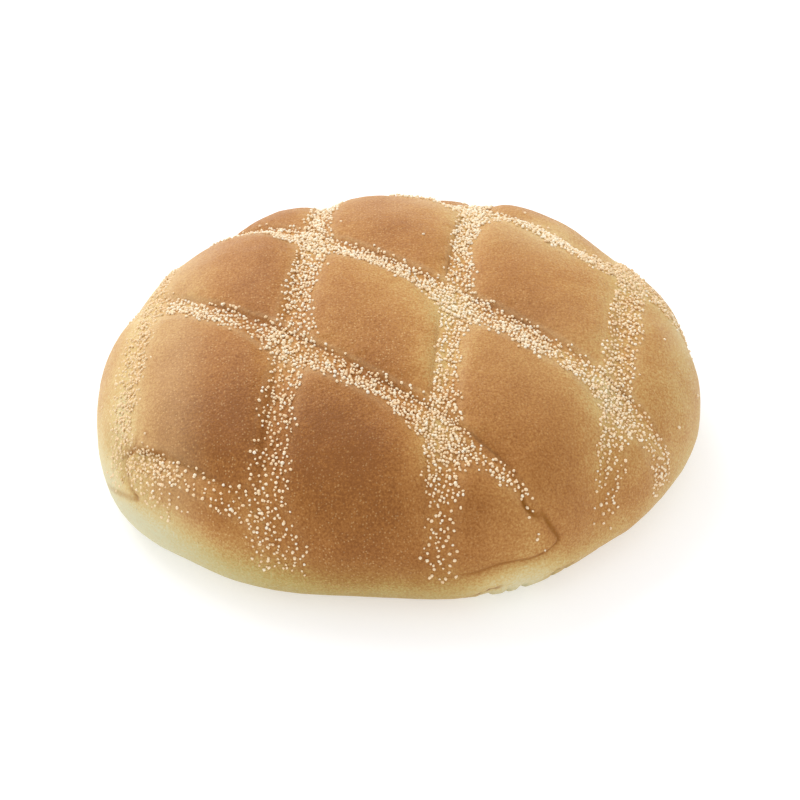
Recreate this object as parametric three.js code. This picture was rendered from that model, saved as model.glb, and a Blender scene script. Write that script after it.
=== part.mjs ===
// A round hamburger bun with a lattice top: one baked piece, flat underneath, domed above.
// Two families of pressed grooves cross on the dome and part it into pillow-shaped lobes.
// Millimetres, +Z up, with the origin in the middle of the flat underside.

import * as THREE from "three";

// ---- Driving dimensions: the body ----

const RADIUS = 58.6; // mean plan radius at the widest level
const HEIGHT = 37.8; // underside to the crown, before the grooves are pressed
const GIRTH_HEIGHT = 9.8; // level at which the bun is widest
const CROWN_ROUNDNESS = 2.36; // superellipse power of the dome, outward
const CROWN_FULLNESS = 2.55; // and upward

// The flat foot's radius as a share of the radius above it, and the side it leans towards.
const FOOT = { share: 0.855, swing: 0.02, towards: 130 };

// The uneven outline: each swell lifts the radius by a share of itself, count times around.
const OUTLINE_SWELLS = [
  { count: 2, share: 0.04, towards: 16 },
  { count: 3, share: 0.0115, towards: -29 },
  { count: 4, share: 0.007, towards: 35 },
  { count: 5, share: 0.01, towards: 1 },
];
const LEAN = { x: -0.037, y: 0.015 }; // rise of the crown across one radius, as a share of it

// ---- Driving dimensions: the pressed lattice ----

// A family's grooves run in one direction, in degrees. Each has an offset from the centre, a
// bow over one radius of its run, a depth share, and a crease where its steep flank meets its
// bed. Its ends are four places along its run, between which it opens and closes again. The
// run-out is the pair of levels between which the family fades into the side.
const OPEN_ENDS = [-90, -80, 80, 90];
const GROOVE_FAMILIES = [
  {
    direction: -37.2,
    runOut: [7, 18],
    grooves: [
      { offset: 43.1, bow: 3.0, depth: 0.8, crease: 1.3, ends: [-46, -34, 14, 34] },
      { offset: 8.0, bow: 2.5, depth: 1, crease: 1.5, ends: [-60, -46, 46, 60] },
      { offset: -23.0, bow: 3.4, depth: 1, crease: 1.3, ends: [-56, -40, 38, 50] },
      { offset: -55.2, bow: 0, depth: 0.55, crease: -0.3, ends: OPEN_ENDS },
    ],
  },
  {
    direction: 83.9,
    runOut: [10, 25],
    grooves: [
      { offset: 51.6, bow: -1.0, depth: 0.5, crease: 0.5, ends: [-90, -80, -6, 12] },
      { offset: 19.6, bow: 0.5, depth: 1, crease: 1.8, ends: OPEN_ENDS },
      { offset: -11.1, bow: -2.2, depth: 1, crease: 2.3, ends: OPEN_ENDS },
      { offset: -43.9, bow: 0, depth: 0.8, crease: 0.5, ends: [-90, -80, 8, 26] },
    ],
  },
];
const LOBE_ROUNDING = 12; // fall at which a lobe has reached its full height
const GENTLE_SIDE = 0.9; // fall per millimetre from the middle line, on the gentle side
const STEEP_SIDE = 0.55; // the same on the side that a groove's offset points to
const FLANK = 0.9; // further fall over the flank above the crease
const FLANK_REACH = [-0.3, 0.6]; // from the crease to the flank's foot and to its top
const STEEP_CURVE = 0.0035; // and the fall that grows with the cube of the distance
const PILLOW_DEPTH = 1.2; // fall of a lobe's rounded shoulder
const CHANNEL_DEPTH = 1.0; // further fall into the channel of the groove
const CHANNEL_WALL = [0.6, 0.95]; // closeness to the groove at the top and foot of its wall
const BLUNT_CORNER = 2.4; // power that joins two families where the first is on its gentle side
const KEEN_CORNER = 5; // and where it is on its steep side

// Broad rises and hollows of the crust: the middle seen from above, the radius and the height
// of a bell curve. They fade to nothing over the lowest part of the side.
const BROAD_SWELLS = [
  { x: 7, y: 40, radius: 13, rise: -1.2 },
  { x: 13, y: 51, radius: 6, rise: -0.5 },
  { x: -40, y: 30, radius: 11, rise: -1.4 },
  { x: -53, y: 18, radius: 9, rise: -1.3 },
  { x: 45, y: 31, radius: 12, rise: -1.4 },
  { x: 59, y: 7, radius: 10, rise: -1.3 },
  { x: -41, y: -42, radius: 8, rise: -0.6 },
  { x: -6, y: -53, radius: 12, rise: -0.7 },
  { x: 39, y: -41, radius: 10, rise: -1.0 },
  { x: 54, y: -25, radius: 8, rise: -0.4 },
];
const SWELL_FADE = 1.5;

// ---- Driving dimensions: the mesh of the crust ----

const DOME_RINGS = 37; // rings from the crown to the girth, each six vertices longer
const SIDE_RINGS = 3; // rings from the girth down to the foot, all alike
const SIDES = 6; // ring r has this many times r vertices
const ROW_DIRECTION = -36.7; // the straight rows of the crown's mesh run along the grooves
const ROUNDING_POWER = 3; // how late the rings turn from hexagons into circles
const PROFILE_STEPS = 400;

// ---- The body ----

function planRadius(angle) {
  const swell = OUTLINE_SWELLS.reduce((sum, { count, share, towards }) => {
    return sum + share * Math.cos(count * (angle - THREE.MathUtils.degToRad(towards)));
  }, 0);
  return RADIUS * (1 + swell);
}

function footShare(angle) {
  return FOOT.share + FOOT.swing * Math.cos(angle - THREE.MathUtils.degToRad(FOOT.towards));
}

// Reach and height of the body's section, for a turn from 0 at the crown to pi at the foot.
// The reach is a share of the plan radius. The section is a superellipse above the girth and
// a quarter of an ellipse below it.
function section(turn, foot) {
  if (turn <= Math.PI / 2) {
    const reach = Math.sin(turn) ** (2 / CROWN_ROUNDNESS);
    const rise = Math.max(Math.cos(turn), 0) ** (2 / CROWN_FULLNESS);
    return { reach, height: GIRTH_HEIGHT + (HEIGHT - GIRTH_HEIGHT) * rise };
  }
  const tuck = turn - Math.PI / 2;
  const reach = foot + (1 - foot) * Math.cos(tuck);
  return { reach, height: GIRTH_HEIGHT * (1 - Math.sin(tuck)) };
}

function bodyPoint(angle, turn) {
  const { reach, height } = section(turn, footShare(angle));
  const x = planRadius(angle) * reach * Math.cos(angle);
  const y = planRadius(angle) * reach * Math.sin(angle);
  const lean = ((LEAN.x * x + LEAN.y * y) / RADIUS) * (1 - reach);
  return new THREE.Vector3(x, y, height * (1 + lean));
}

function bodyNormal(angle, turn) {
  const step = 1e-4;
  const near = THREE.MathUtils.clamp(turn, 2 * step, Math.PI - step);
  const around = bodyPoint(angle + step, near).sub(bodyPoint(angle - step, near));
  const down = bodyPoint(angle, near + step).sub(bodyPoint(angle, near - step));
  return down.cross(around).normalize();
}

// Turn at a share of the section's length from the crown to the girth.
const domeTurn = (() => {
  const turns = [0];
  const lengths = [0];
  for (let i = 1; i <= PROFILE_STEPS; i++) {
    turns.push((Math.PI * i) / 2 / PROFILE_STEPS);
    const above = section(turns[i - 1], FOOT.share);
    const below = section(turns[i], FOOT.share);
    const run = (below.reach - above.reach) * RADIUS;
    lengths.push(lengths[i - 1] + Math.hypot(run, below.height - above.height));
  }
  return (share) => {
    const wanted = lengths[PROFILE_STEPS] * share;
    const found = lengths.findIndex((length) => length >= wanted);
    const next = found < 0 ? PROFILE_STEPS : Math.max(found, 1);
    const part = (wanted - lengths[next - 1]) / (lengths[next] - lengths[next - 1]);
    return THREE.MathUtils.lerp(turns[next - 1], turns[next], part);
  };
})();

// ---- The pressed lattice ----

// Signed distance from a groove's middle line: the one seen from above, stretched where the
// surface slopes away from it.
function signedDistance(point, normal, direction, { offset, bow }) {
  const along = new THREE.Vector3(Math.cos(direction), Math.sin(direction), 0);
  const across = new THREE.Vector3(-along.y, along.x, 0);
  const run = along.dot(point) / RADIUS;
  const fromAbove = across.dot(point) - offset - bow * run * run;
  const slope = across.dot(normal);
  return fromAbove / Math.sqrt(Math.max(1 - slope * slope, 0.02));
}

// How far a lobe has risen at a distance from a groove's middle line, in the terms of its
// rounding. The gentle side rises evenly. The steep side rises over the flank above the crease.
function lobeRise(distance, crease) {
  if (distance <= 0) return -GENTLE_SIDE * distance;
  const [foot, top] = FLANK_REACH;
  const flank = FLANK * THREE.MathUtils.smoothstep(distance, crease + foot, crease + top);
  return STEEP_SIDE * distance + flank + STEEP_CURVE * distance ** 3;
}

// The closest groove of one family: how close it is, from 1 on its middle line to 0 where the
// lobe is at its full height, whether this is its steep side, and how deeply it is pressed here.
function closestGroove(point, normal, { direction, runOut, grooves }) {
  const radians = THREE.MathUtils.degToRad(direction);
  const run = point.x * Math.cos(radians) + point.y * Math.sin(radians);
  const kept = THREE.MathUtils.smoothstep(point.z, runOut[0], runOut[1]);
  let closest = { close: 0, steep: false, strength: 0 };
  for (const groove of grooves) {
    const distance = signedDistance(point, normal, radians, groove);
    const close = 1 - lobeRise(distance, groove.crease) / LOBE_ROUNDING;
    const [start, opened, closing, end] = groove.ends;
    const open = THREE.MathUtils.smoothstep(run, start, opened);
    const shut = THREE.MathUtils.smoothstep(run, closing, end);
    const strength = groove.depth * kept * open * (1 - shut);
    if (close > closest.close) closest = { close, steep: distance > 0, strength };
  }
  return closest;
}

// Depth pressed into the crust. A power mean joins the closeness of the two families: the
// higher its power, the keener the corners of the lobes.
function pressedDepth(point, normal) {
  const [a, b] = GROOVE_FAMILIES.map((family) => closestGroove(point, normal, family));
  const power = a.steep ? KEEN_CORNER : BLUNT_CORNER;
  const close = (a.close ** power + b.close ** power) ** (1 / power);
  if (close === 0) return 0;
  const shares = a.close ** 2 + b.close ** 2;
  const strength = (a.strength * a.close ** 2 + b.strength * b.close ** 2) / shares;
  const pillow = PILLOW_DEPTH * Math.min(close, 1) ** 2;
  const channel = CHANNEL_DEPTH * THREE.MathUtils.smoothstep(close, ...CHANNEL_WALL);
  return strength * (pillow + channel);
}

// Height of the broad swells at a point.
function broadSwell(point) {
  const total = BROAD_SWELLS.reduce((sum, { x, y, radius, rise }) => {
    const away = Math.hypot(point.x - x, point.y - y) / radius;
    return sum + rise * Math.exp(-away * away);
  }, 0);
  return total * THREE.MathUtils.smoothstep(point.z, 0, SWELL_FADE);
}

function crustPoint(angle, turn) {
  const point = bodyPoint(angle, turn);
  const normal = bodyNormal(angle, turn);
  return point.addScaledVector(normal, broadSwell(point) - pressedDepth(point, normal));
}

// ---- The solid ----

// Vertex i of one ring of the dome. The inner rings are hexagons, so that the mesh has straight
// rows there, and they turn into circles towards the girth.
function domeVertex(ring, i) {
  if (ring === 0) return crustPoint(0, 0);
  const sixth = (2 * Math.PI) / SIDES;
  const corner = THREE.MathUtils.degToRad(ROW_DIRECTION) + sixth * Math.floor(i / ring);
  const share = (i % ring) / ring;
  const x = 1 - share + share * Math.cos(sixth);
  const y = share * Math.sin(sixth);
  const rounded = (ring / DOME_RINGS) ** ROUNDING_POWER;
  const angle = THREE.MathUtils.lerp(Math.atan2(y, x), share * sixth, rounded);
  const reach = THREE.MathUtils.lerp(Math.hypot(x, y), 1, rounded);
  return crustPoint(corner + angle, domeTurn((reach * ring) / DOME_RINGS));
}

// Vertex i of one ring of the side, straight below the girth's.
function sideVertex(ring, i) {
  const angle = THREE.MathUtils.degToRad(ROW_DIRECTION) + (2 * Math.PI * i) / (SIDES * DOME_RINGS);
  return crustPoint(angle, (Math.PI / 2) * (1 + (ring - DOME_RINGS) / SIDE_RINGS));
}

// Triangles between two rings of the dome: each sixth of the outer ring has one vertex more
// than the same sixth of the inner ring.
function domeBand(ring, outerStart, innerStart) {
  const outer = (i) => outerStart + (i % (SIDES * ring));
  const inner = (i) => innerStart + (i % Math.max(1, SIDES * (ring - 1)));
  const faces = [];
  for (let side = 0; side < SIDES; side++) {
    for (let i = 0; i < ring; i++) {
      const out = side * ring + i;
      const into = side * (ring - 1) + i;
      faces.push(outer(out), outer(out + 1), inner(into));
      if (i < ring - 1) faces.push(outer(out + 1), inner(into + 1), inner(into));
    }
  }
  return faces;
}

// Triangles between two rings of the same count.
function sideBand(count, upperStart, lowerStart) {
  const faces = [];
  for (let i = 0; i < count; i++) {
    const next = (i + 1) % count;
    faces.push(upperStart + i, lowerStart + i, lowerStart + next);
    faces.push(upperStart + i, lowerStart + next, upperStart + next);
  }
  return faces;
}

// The flat underside, a fan about its middle.
function footFan(count, start, middle) {
  const faces = [];
  for (let i = 0; i < count; i++) faces.push(start + ((i + 1) % count), start + i, middle);
  return faces;
}

function bunGeometry() {
  const positions = [];
  const faces = [];
  const edge = SIDES * DOME_RINGS;
  let above = 0;
  for (let ring = 0; ring <= DOME_RINGS + SIDE_RINGS; ring++) {
    const start = positions.length / 3;
    const count = THREE.MathUtils.clamp(SIDES * ring, 1, edge);
    const vertex = ring <= DOME_RINGS ? domeVertex : sideVertex;
    for (let i = 0; i < count; i++) positions.push(...vertex(ring, i).toArray());
    if (ring > DOME_RINGS) faces.push(...sideBand(count, above, start));
    else if (ring > 0) faces.push(...domeBand(ring, start, above));
    above = start;
  }
  faces.push(...footFan(edge, above, positions.length / 3));
  positions.push(0, 0, 0);

  const geometry = new THREE.BufferGeometry();
  geometry.setAttribute("position", new THREE.Float32BufferAttribute(positions, 3));
  geometry.setIndex(faces);
  geometry.computeBoundingBox();
  const middle = geometry.boundingBox.getCenter(new THREE.Vector3());
  geometry.translate(-middle.x, -middle.y, 0);
  geometry.computeVertexNormals();
  return geometry;
}

const crust = new THREE.MeshStandardMaterial({ color: 0xc28a50, roughness: 0.7, metalness: 0 });

const bun = new THREE.Mesh(bunGeometry(), crust);
bun.name = "bun";

const part = new THREE.Group();
part.name = "lattice_bun";
part.add(bun);

export default part;
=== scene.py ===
"""Looks of a lattice-topped hamburger bun: its crust, the grains in its grooves, and a studio."""

import math

import bpy
import numpy as np
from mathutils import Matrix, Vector


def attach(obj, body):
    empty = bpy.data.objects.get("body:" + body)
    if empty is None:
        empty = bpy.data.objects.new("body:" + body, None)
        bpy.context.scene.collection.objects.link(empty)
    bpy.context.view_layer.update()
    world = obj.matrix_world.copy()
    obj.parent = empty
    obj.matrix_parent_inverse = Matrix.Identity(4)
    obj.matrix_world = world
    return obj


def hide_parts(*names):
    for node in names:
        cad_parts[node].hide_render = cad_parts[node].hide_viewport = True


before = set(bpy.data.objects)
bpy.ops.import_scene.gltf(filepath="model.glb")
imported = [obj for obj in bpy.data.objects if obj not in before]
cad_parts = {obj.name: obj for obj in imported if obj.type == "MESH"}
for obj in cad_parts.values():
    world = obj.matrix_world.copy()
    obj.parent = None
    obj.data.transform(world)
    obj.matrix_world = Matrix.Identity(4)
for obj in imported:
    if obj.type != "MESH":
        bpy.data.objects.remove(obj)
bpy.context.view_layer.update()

MM = 0.001

# ---- Sizes of the body, in millimetres ----

RADIUS = 58.6
HEIGHT = 37.8
GIRTH_HEIGHT = 9.8

# Powers of the superellipse above the girth, for its reach and for its height.
CROWN_ROUNDNESS = 2.36
CROWN_FULLNESS = 2.55

# The foot's reach as a share of the girth's, how much that swings around the bun, and where it is
# greatest, in degrees.
FOOT_SHARE, FOOT_SWING, FOOT_TOWARDS = 0.855, 0.02, 130

# Swells of the outline seen from above: how many go around, each one's share of the radius, and
# where the first one points, in degrees.
OUTLINE_SWELLS = [(2, 0.04, 16), (3, 0.0115, -29), (4, 0.007, 35), (5, 0.01, 1)]

# Growth of the crown's height for each radius along x and along y, as shares of the height.
LEAN_X, LEAN_Y = -0.037, 0.015

# ---- Sizes of the pressed lattice ----

# A family's direction is in degrees, its grooves run out between two heights, and its across_band
# shares the grains out across each groove. A groove's offset is how far from the origin its middle
# line passes, its bow how far that line has curved away after a radius, and its hook bends the
# front end. Its crease is where its steep flank meets its bed, as a distance from the middle line.
# Its ends are four places along its run, between which it opens and closes again. Its grains are
# given along its run: the run, the share of sites that hold a grain there, and the two edges of the
# band that they lie in.
OPEN_ENDS = (-90, -80, 80, 90)
SLANTED = dict(
    direction=-37.2,
    run_out=(7, 18),
    crease_depth=0.3,
    across_band=[(-5.0, 1.12), (-2.2, 1.15), (-0.8, 0.86), (0.8, 0.80), (1.8, 0.58)],
    grooves=[
        dict(
            offset=43.1, bow=3.0, depth=0.8, ends=(-46, -34, 14, 34), crease=1.3,
            grains=[
                (-30, 0.7, -5.6, 1.4), (-12, 0.62, -6.2, 1.2), (-4, 0.5, -6.6, 1.6),
                (8, 0.88, -7.6, 1.8), (18, 0.88, -7.4, 2.2), (26, 0.82, -5.4, 2.2),
                (36, 0.7, -5.4, 1.6), (43, 0.25, -5.0, 1.0),
            ],
        ),
        dict(
            offset=8.0, bow=2.5, depth=1.0, ends=(-60, -46, 46, 60), crease=1.5,
            grains=[
                (-55, 0.30, -4.6, 1.9), (-43, 0.55, -4.8, 2.1), (-31, 0.80, -4.8, 2.0),
                (-13, 0.9, -4.2, 2.0), (-5, 0.9, -3.0, 2.0), (3, 0.9, -3.6, 2.4), (10, 0.9, -5.0, 2.0),
                (19, 0.85, -5.6, 1.9), (33, 0.85, -5.4, 2.1), (43, 0.72, -4.6, 2.4),
                (50, 0.65, -5.4, 2.0), (56, 0.5, -5.0, 1.6),
            ],
        ),
        dict(
            offset=-23.0, bow=3.4, hook=-10, depth=1.0, ends=(-56, -40, 38, 50), crease=1.3,
            grains=[
                (-52, 0.25, -5.0, 1.5), (-43, 0.70, -5.0, 1.4), (-37, 0.85, -5.4, 1.4),
                (-31, 0.82, -4.4, 1.7), (-20, 0.8, -3.8, 1.9), (-13, 0.82, -4.4, 2.8),
                (-6, 0.82, -5.2, 1.8), (2, 0.82, -4.8, 1.9), (8, 0.82, -4.2, 2.0),
                (16, 0.85, -3.8, 2.1), (23, 0.78, -4.8, 3.2), (30, 0.78, -5.8, 2.2),
                (35, 0.75, -5.0, 1.0), (38, 0.8, -3.6, 0.6), (42, 0.85, -2.2, 0.3),
                (47, 0.8, -1.0, 0.6), (50, 0.2, -0.8, 0.6),
            ],
        ),
        dict(
            offset=-55.2, bow=0.0, depth=0.55, ends=OPEN_ENDS, crease=-0.3,
            grains=[
                (-34, 0.05, -3.0, 1.5), (-26, 0.48, -4.0, 2.4), (-18, 0.45, -5.5, 1.8),
                (-6, 0.32, -5.6, 0.2), (1, 0.38, -5.4, 0.8), (7, 0.52, -3.0, 3.6),
                (12, 0.42, -3.4, 3.6), (20, 0.10, -2.0, 3.0),
            ],
        ),
    ],
)
UPRIGHT = dict(
    direction=83.9,
    run_out=(10, 25),
    crease_depth=0.2,
    across_band=[(0.0, 1.0), (1.8, 0.9), (2.8, 0.6)],
    grooves=[
        dict(
            offset=51.6, bow=-1.0, depth=0.5, ends=(-90, -80, -6, 12), crease=0.5,
            grains=[
                (-34.5, 0.0, -3.0, 3.0), (-31.5, 0.85, -3.4, 3.8), (-25, 0.92, -3.6, 4.4),
                (-10, 0.95, -4.0, 4.2), (4, 0.92, -4.6, 2.8), (12, 0.85, -4.2, 0.6),
            ],
        ),
        dict(
            offset=19.6, bow=0.5, depth=1.0, ends=OPEN_ENDS, crease=1.8,
            grains=[
                (-58, 0.15, -8.5, 2.6), (-54.5, 0.38, -8.0, 2.8), (-52, 0.44, -4.2, 3.2),
                (-48, 0.52, -3.2, 3.8), (-36, 0.62, -3.6, 3.4), (-29, 0.62, -3.4, 3.0),
                (-22, 0.64, -4.8, 2.7), (-17, 0.68, -4.4, 3.2), (-10, 0.76, -3.1, 3.5),
                (5, 0.82, -3.1, 3.0), (12, 0.80, -3.8, 2.5), (20, 0.80, -3.6, 3.0),
                (30, 0.80, -2.6, 2.2),
            ],
        ),
        dict(
            offset=-11.1, bow=-2.2, depth=1.0, ends=OPEN_ENDS, crease=2.3,
            grains=[
                (-57, 0.22, -2.0, 1.8), (-54, 0.46, -2.6, 2.1), (-48, 0.66, -3.8, 2.4),
                (-42, 0.76, -4.6, 2.6), (-36, 0.70, -4.0, 3.2), (-30, 0.64, -2.8, 2.8),
                (-24, 0.62, -2.8, 2.0), (-12, 0.64, -2.8, 2.0), (-6, 0.72, -3.6, 2.3),
                (0, 0.80, -3.6, 2.6), (8, 0.88, -2.5, 2.6), (18, 0.88, -1.6, 2.6),
                (30, 0.88, -2.2, 2.9),
            ],
        ),
        dict(
            offset=-43.9, bow=0.0, depth=0.8, ends=(-90, -80, 8, 26), crease=0.5,
            grains=[
                (-46, 0.02, -1.0, 3.0), (-38, 0.06, -2.6, 3.0), (-33, 0.42, -3.8, 2.4),
                (-29, 0.66, -4.2, 2.2), (-25, 0.72, -4.5, 2.1), (-18, 0.66, -4.6, 3.4),
                (-13, 0.66, -3.9, 2.6), (0, 0.78, -3.9, 3.0), (6, 0.80, -3.9, 2.3),
                (12, 0.80, -4.5, 1.5),
            ],
        ),
    ],
)

# Closeness falls from 1 to 0 over the lobe's rounding: at one rate on a groove's gentle side, and
# on its steep side at a slower one, with the flank's own fall and a cube of the distance added.
LOBE_ROUNDING = 12
GENTLE_SIDE = 0.9
STEEP_SIDE, FLANK, STEEP_CURVE = 0.55, 0.9, 0.0035
FLANK_FROM, FLANK_TO = -0.3, 0.6  # from the crease
LEAST_STRETCH = 0.02
FAR_OFF = 99.0

# Depths of the lobe's rounding and of the channel, and the closeness over which its wall falls.
PILLOW_DEPTH, CHANNEL_DEPTH = 1.2, 1.0
CHANNEL_WALL = (0.6, 0.95)

# Where a groove with a hook starts to bend, as a share of the radius along its run.
HOOK_START = 0.35

# Powers of the mean that joins the two families, on the gentle and the steep side of a groove.
BLUNT_CORNER, KEEN_CORNER = 2.4, 5

# Half-widths of a crease and of the slight swell above it, how far off that swell lies, and its
# height as a share of the crease's depth.
CREASE_WIDTH, SWELL_WIDTH, SWELL_OFF, SWELL_SHARE = 0.6, 1.2, 1.9, 0.45

# Broad hollows of the dome, as x, y, radius and the height of a bell curve.
BROAD_HOLLOWS = [
    (7, 40, 13, -1.2),
    (13, 51, 6, -0.5),
    (-40, 30, 11, -1.4),
    (-53, 18, 9, -1.3),
    (45, 31, 12, -1.4),
    (59, 7, 10, -1.3),
    (-41, -42, 8, -0.6),
    (-6, -53, 12, -0.7),
    (39, -41, 10, -1.0),
    (54, -25, 8, -0.4),
]

# ---- Sizes of the skin ----

# Waves of the skin, as the size of their cells, their height and the seed of their noise.
SKIN_WAVES = [(15, 0.32, 1), (5, 0.12, 2), (1.7, 0.035, 3)]

# Mealy roughness of the groove beds and of the broken patch: its cells, seed and two heights.
MEALY_CELL, MEALY_SEED, BED_MEALINESS, PATCH_MEALINESS = 1.2, 4, 0.14, 0.3

# The torn rim: how far its teeth step out, how far it is drawn in, and its teeth's cells and seed.
TOOTH_HEIGHT, RIM_DRAWN_IN, TOOTH_CELL, TOOTH_SEED = 0.8, 0.6, 1.7, 9

# Where things begin, are whole, end and are gone: the torn rim and the pale skirt in degrees
# around the bun, and the broken patch in height.
TORN_RIM, PALE_SKIRT, PATCH_HEIGHTS = (284, 292, 306, 318), (280, 291, 297, 306), (13, 17, 22.5, 24.5)

# ---- Sizes of the fine mesh ----

DOME_RINGS = 160
SIDE_RINGS = 13
UNDER_RINGS = 6
ROW_DIRECTION = -36.7  # of the rows of the dome's vertices, in degrees
UNDER_WAVES, UNDER_CELL, UNDER_SEED, UNDER_MIDDLE = 0.25, 9, 8, 0.3
NOISE_SIDE = 64  # corners along each side of a random field, after which it repeats


def smoothstep(x, low, high):
    """Rises from 0 at low to 1 at high along 3 t squared minus 2 t cubed."""
    t = np.clip((x - low) / (high - low), 0, 1)
    return t * t * (3 - 2 * t)


def between(x, opens, full, closes, shut):
    """Rises from 0 to 1 over the first two places and falls back over the last two."""
    return smoothstep(x, opens, full) * (1 - smoothstep(x, closes, shut))


def bell(x, width):
    """A bell curve: e to the minus square of x over its width."""
    return np.exp(-((x / width) ** 2))


def mounds(points, table, breadth=1):
    """Sum of bell curves of the distance seen from above, each with its own middle, radius and
    height. The breadth divides the square of that distance."""
    total = 0
    for x, y, radius, height in table:
        off = (points[..., 0] - x) ** 2 + (points[..., 1] - y) ** 2
        total = total + height * np.exp(-off / radius**2 / breadth)
    return total


def value_noise(points, cell, seed):
    """Smooth random field from -1 to 1: random values at the corners of cubes of side cell,
    blended between the eight corners by smoothstep weights."""
    table = np.random.default_rng(seed).uniform(-1, 1, (NOISE_SIDE, NOISE_SIDE, NOISE_SIDE))
    scaled = points / cell
    corner = np.floor(scaled).astype(int)
    part = scaled - corner
    part = part * part * (3 - 2 * part)
    total = np.zeros(points.shape[:-1])
    for dx in (0, 1):
        for dy in (0, 1):
            for dz in (0, 1):
                i, j, k = np.moveaxis((corner + (dx, dy, dz)) % NOISE_SIDE, -1, 0)
                wx, wy, wz = np.moveaxis(np.where((dx, dy, dz), part, 1 - part), -1, 0)
                total += wx * wy * wz * table[i, j, k]
    return total


def layered_noise(points, layers):
    """Sum of random fields, each given by its cell, its height and its seed."""
    return sum(height * value_noise(points, cell, seed) for cell, height, seed in layers)


# ---- The body ----


def plan_radius(angle):
    """Mean radius times one plus each swell's share of a cosine."""
    swells = 0
    for count, share, towards in OUTLINE_SWELLS:
        swells = swells + share * np.cos(count * (angle - math.radians(towards)))
    return RADIUS * (1 + swells)


def section(turn, foot):
    """Reach and height at a turn from 0 at the crown to pi at the foot: a superellipse above the
    girth, a quarter of an ellipse below it."""
    over = np.clip(turn, 0, math.pi / 2)
    tuck = np.clip(turn - math.pi / 2, 0, math.pi / 2)
    rise = np.maximum(np.cos(over), 0) ** (2 / CROWN_FULLNESS)
    upper = turn <= math.pi / 2
    reach = np.where(upper, np.sin(over) ** (2 / CROWN_ROUNDNESS), foot + (1 - foot) * np.cos(tuck))
    dome = GIRTH_HEIGHT + (HEIGHT - GIRTH_HEIGHT) * rise
    return reach, np.where(upper, dome, GIRTH_HEIGHT * (1 - np.sin(tuck)))


def body_point(angle, turn):
    """The section's reach times the plan radius, with the crown leaning a little."""
    foot = FOOT_SHARE + FOOT_SWING * np.cos(angle - math.radians(FOOT_TOWARDS))
    reach, height = section(turn, foot)
    x = plan_radius(angle) * reach * np.cos(angle)
    y = plan_radius(angle) * reach * np.sin(angle)
    lean = (LEAN_X * x + LEAN_Y * y) / RADIUS * (1 - reach)
    return np.stack([x, y, height * (1 + lean)], -1)


def body_normal(angle, turn):
    """Cross product of the surface's two small differences, down the section and around."""
    step = 1e-4
    near = np.clip(turn, 2 * step, math.pi - step)
    around = body_point(angle + step, near) - body_point(angle - step, near)
    down = body_point(angle, near + step) - body_point(angle, near - step)
    normal = np.cross(down, around)
    return normal / np.linalg.norm(normal, axis=-1, keepdims=True)


def dome_turn(share):
    """Turn at a share of the section's length from the crown to the girth."""
    turns = np.linspace(0, math.pi / 2, 4001)
    reach, height = section(turns, FOOT_SHARE)
    steps = np.hypot(np.diff(reach) * RADIUS, np.diff(height))
    lengths = np.concatenate([[0], np.cumsum(steps)])
    return np.interp(share * lengths[-1], lengths, turns)


# ---- The pressed lattice ----


def closest_groove(point, normal, family):
    """For one family: closeness of the nearest groove, from 1 on its middle line to 0 where the
    lobe is at its full height, how deeply it is pressed, the signed distance from it and from its
    crease, how full of grains it is, and how far outside the band of grains each spot lies. On the
    gentle side closeness falls with the distance. On the steep side it falls slowly over the bed,
    quickly over the flank, and with the cube of the distance over the lobe. A groove's middle line
    bows with the square of its run, and distances are measured along the sloping crust."""
    direction = math.radians(family["direction"])
    along = np.array([math.cos(direction), math.sin(direction)])
    across = np.array([-along[1], along[0]])
    run = point[..., :2] @ along
    slope = normal[..., :2] @ across
    stretch = np.sqrt(np.maximum(1 - slope * slope, LEAST_STRETCH))
    kept = smoothstep(point[..., 2], *family["run_out"])
    close, strength, fill = np.zeros((3, *run.shape))
    signed, from_crease, outside = np.full((3, *run.shape), FAR_OFF)
    for groove in family["grooves"]:
        bowed = groove["offset"] + groove["bow"] * (run / RADIUS) ** 2
        bowed = bowed + groove.get("hook", 0) * np.maximum(run / RADIUS - HOOK_START, 0) ** 2
        distance = (point[..., :2] @ across - bowed) / stretch
        beyond = distance - groove["crease"]
        flank = FLANK * smoothstep(beyond, FLANK_FROM, FLANK_TO)
        steep_fall = STEEP_SIDE * distance + flank + STEEP_CURVE * distance**3
        here = 1 - np.where(distance > 0, steep_fall, -GENTLE_SIDE * distance) / LOBE_ROUNDING
        nearer = here > close
        close = np.where(nearer, here, close)
        strength = np.where(nearer, groove["depth"] * kept * between(run, *groove["ends"]), strength)
        nearer = np.abs(distance) < np.abs(signed)
        runs, shares, lows, highs = np.array(groove["grains"]).T
        low, high = np.interp(run, runs, lows), np.interp(run, runs, highs)
        signed = np.where(nearer, distance, signed)
        from_crease = np.where(nearer, beyond, from_crease)
        outside = np.where(nearer, np.maximum((low - distance) / 2, distance - high), outside)
        fill = np.where(nearer, np.interp(run, runs, shares), fill)
    fill = fill * np.interp(signed, *np.array(family["across_band"]).T)
    places = dict(signed=signed, from_crease=from_crease, outside=outside)
    return dict(close=close, strength=strength, fill=fill, **places)


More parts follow.
